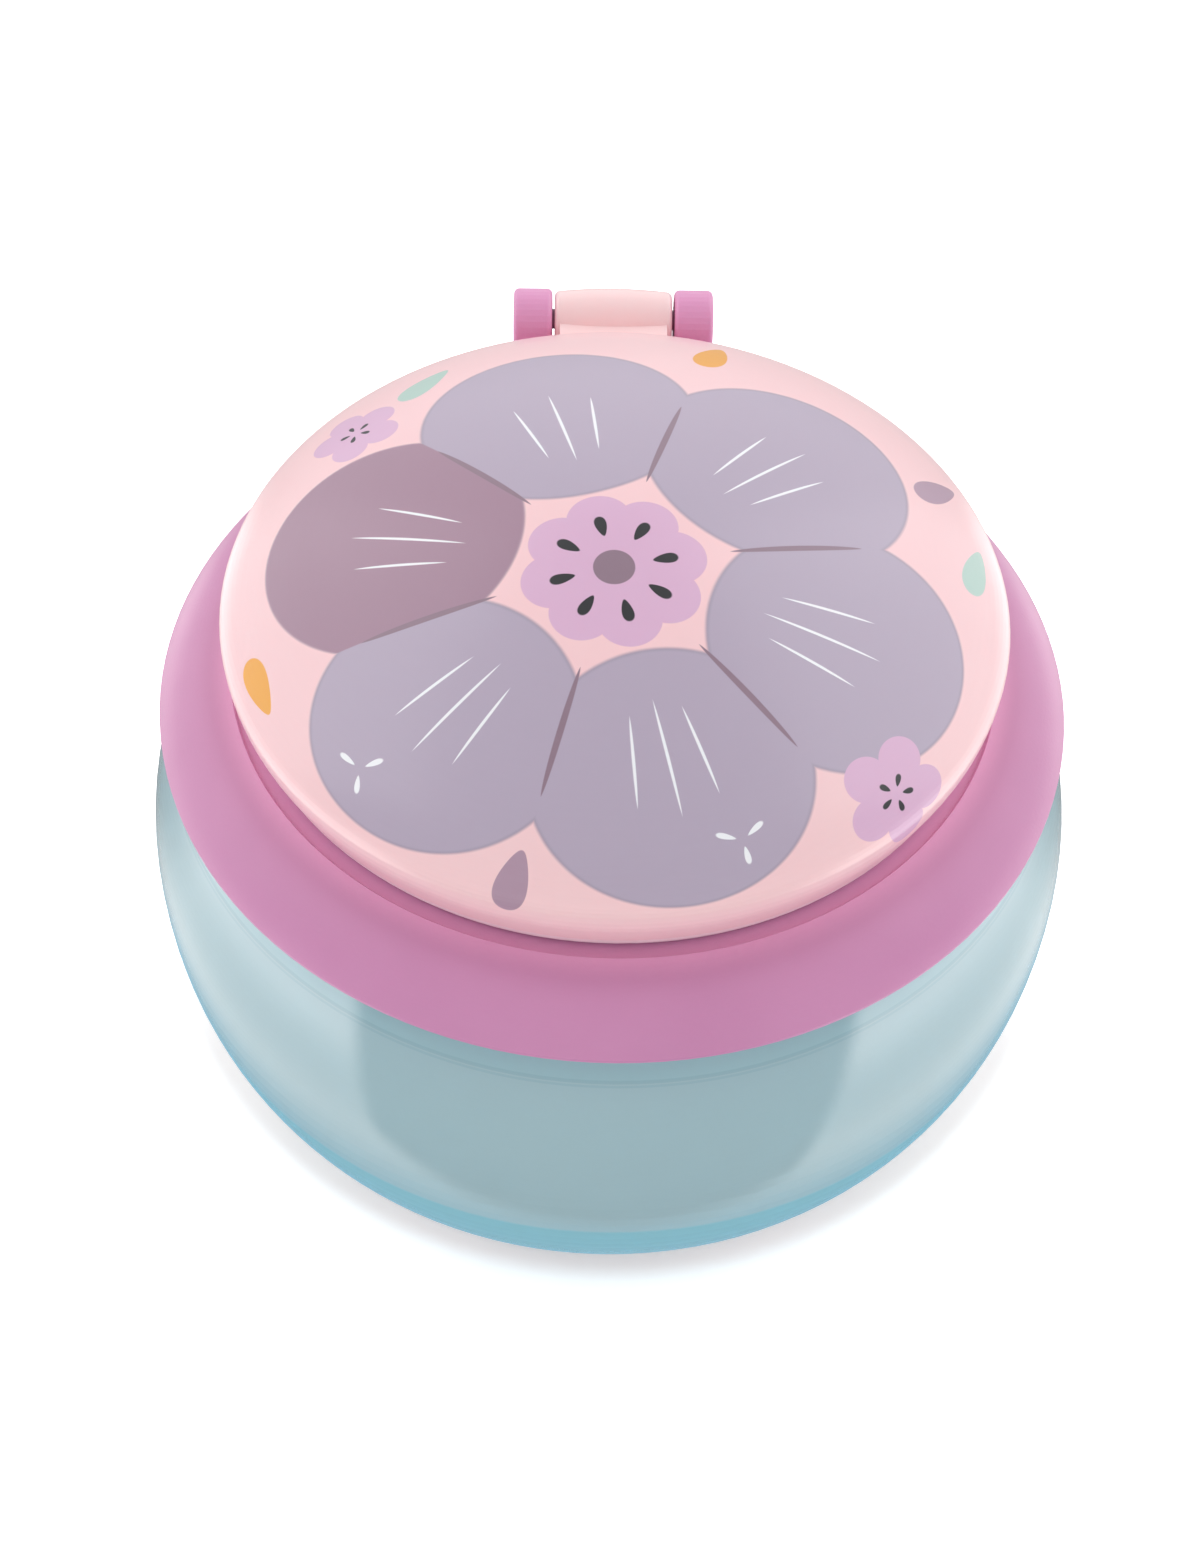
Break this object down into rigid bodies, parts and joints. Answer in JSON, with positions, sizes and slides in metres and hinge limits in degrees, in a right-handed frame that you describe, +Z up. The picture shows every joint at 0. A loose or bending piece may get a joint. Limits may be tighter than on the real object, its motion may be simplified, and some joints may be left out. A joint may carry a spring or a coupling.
{
  "type": "toddler snack container",
  "caption": "Squat round snack cup for a toddler: screw-on sloping collar that holds a ring of soft bending flaps, and a domed flip lid on a rear pin hinge.",
  "frame": {"origin": "centre of the foot on the table, under the bowl's axis", "axes": "+Z up along the bowl's axis, +Y towards the lid's hinge, +X to the right seen from the front"},
  "size_m": [0.112, 0.112, 0.0811],
  "materials": {
    "bowl_plastic": "translucent frosted polypropylene",
    "collar_plastic": "satin moulded polypropylene",
    "pin_plastic": "smooth acetal rod",
    "soft_insert": "matt thermoplastic elastomer",
    "lid_plastic": "glossy polypropylene with a printed film moulded in"
  },
  "bodies": {
    "bowl": {"bowl": "bowl_plastic"},
    "flap_insert": {"flap_ring": "soft_insert"},
    "collar": {"collar": "collar_plastic", "hinge_pin": "pin_plastic"},
    "lid": {"lid": "lid_plastic"},
    "flap_1": {"flap_1": "soft_insert"},
    "flap_2": {"flap_2": "soft_insert"},
    "flap_3": {"flap_3": "soft_insert"},
    "flap_4": {"flap_4": "soft_insert"},
    "flap_5": {"flap_5": "soft_insert"},
    "flap_6": {"flap_6": "soft_insert"}
  },
  "joints": [
    {"name": "collar_lift", "type": "slide", "parent": "bowl", "child": "flap_insert", "axis": [0, 0, 1], "range_m": [0, 0.00278]},
    {"name": "collar_turn", "type": "hinge", "parent": "flap_insert", "child": "collar", "pos_m": [0, 0, 0.0512], "axis": [0, 0, 1], "range_deg": [0, 200]},
    {"name": "lid_hinge", "type": "hinge", "parent": "collar", "child": "lid", "pos_m": [0, 0.051, 0.0636], "axis": [-1, 0, 0], "range_deg": [0, 218]},
    {"name": "flap_1_bend", "type": "hinge", "parent": "flap_insert", "child": "flap_1", "pos_m": [0.02438, 0.01407, 0.057], "axis": [0.5, -0.866, 0], "range_deg": [-25, 70], "stiffness_Nm_per_rad": 0.02},
    {"name": "flap_2_bend", "type": "hinge", "parent": "flap_insert", "child": "flap_2", "pos_m": [0, 0.02815, 0.057], "axis": [1, 0, 0], "range_deg": [-25, 70], "stiffness_Nm_per_rad": 0.02},
    {"name": "flap_3_bend", "type": "hinge", "parent": "flap_insert", "child": "flap_3", "pos_m": [-0.02438, 0.01407, 0.057], "axis": [0.5, 0.866, 0], "range_deg": [-25, 70], "stiffness_Nm_per_rad": 0.02},
    {"name": "flap_4_bend", "type": "hinge", "parent": "flap_insert", "child": "flap_4", "pos_m": [-0.02438, -0.01407, 0.057], "axis": [-0.5, 0.866, 0], "range_deg": [-25, 70], "stiffness_Nm_per_rad": 0.02},
    {"name": "flap_5_bend", "type": "hinge", "parent": "flap_insert", "child": "flap_5", "pos_m": [0, -0.02815, 0.057], "axis": [-1, 0, 0], "range_deg": [-25, 70], "stiffness_Nm_per_rad": 0.02},
    {"name": "flap_6_bend", "type": "hinge", "parent": "flap_insert", "child": "flap_6", "pos_m": [0.02438, -0.01407, 0.057], "axis": [-0.5, -0.866, 0], "range_deg": [-25, 70], "stiffness_Nm_per_rad": 0.02}
  ],
  "couplings": [
    {"joint": "collar_turn", "follows": "collar_lift", "rad_per_m": 1256.6}
  ]
}
